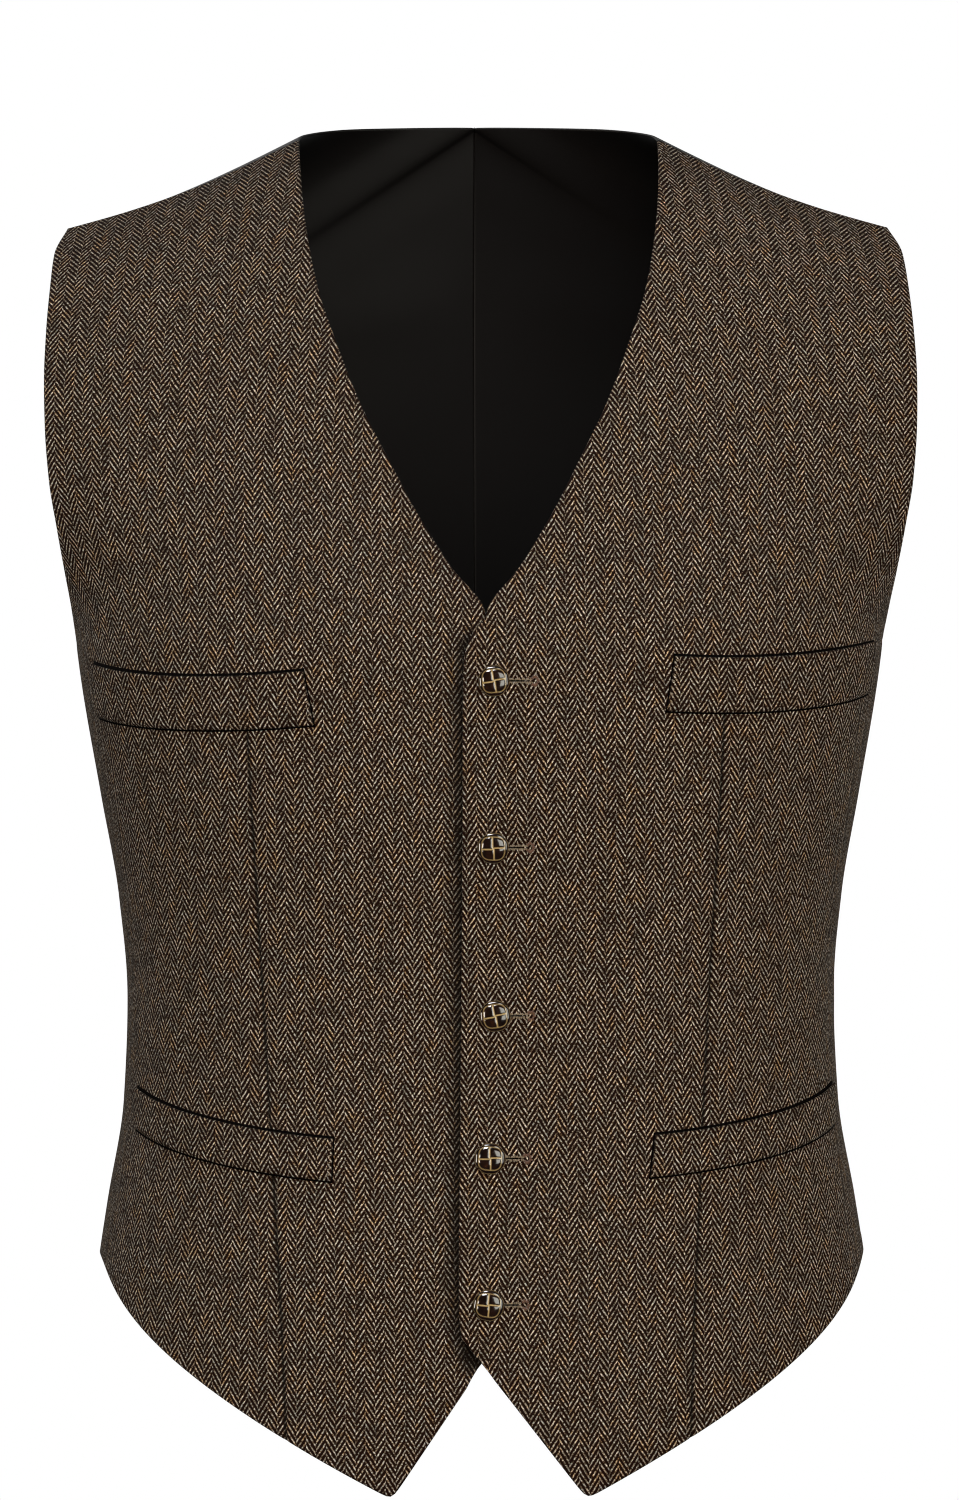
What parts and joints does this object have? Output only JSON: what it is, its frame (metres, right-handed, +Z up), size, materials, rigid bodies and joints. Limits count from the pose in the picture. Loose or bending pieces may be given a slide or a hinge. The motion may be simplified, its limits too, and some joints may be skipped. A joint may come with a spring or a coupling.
{
  "type": "suit waistcoat",
  "caption": "Single-breasted herringbone tweed suit waistcoat with a V neck, welt pockets, pointed front hem and plain satin back, in its worn, hollow shape.",
  "frame": {"origin": "midway between the middles of the two shoulder seams, where the wearer's shoulders carry the waistcoat", "axes": "+Z up, -Y is the way the wearer faces, +X is the wearer's left side"},
  "size_m": [0.4266, 0.2311, 0.6699],
  "materials": {
    "tweed": "herringbone wool tweed, brown and tan on near black, lined with dark satin",
    "satin": "plain near-black satin with a soft sheen",
    "button": "glossy dark brown with a woven leather look and tan lines"
  },
  "bodies": {
    "root": {"front_left": "tweed", "front_right": "tweed", "back_left": "satin", "back_right": "satin", "chest_welt_left": "tweed", "chest_welt_right": "tweed", "hip_welt_left": "tweed", "hip_welt_right": "tweed", "button_1": "button", "button_2": "button", "button_3": "button", "button_4": "button", "button_5": "button"}
  },
  "joints": []
}
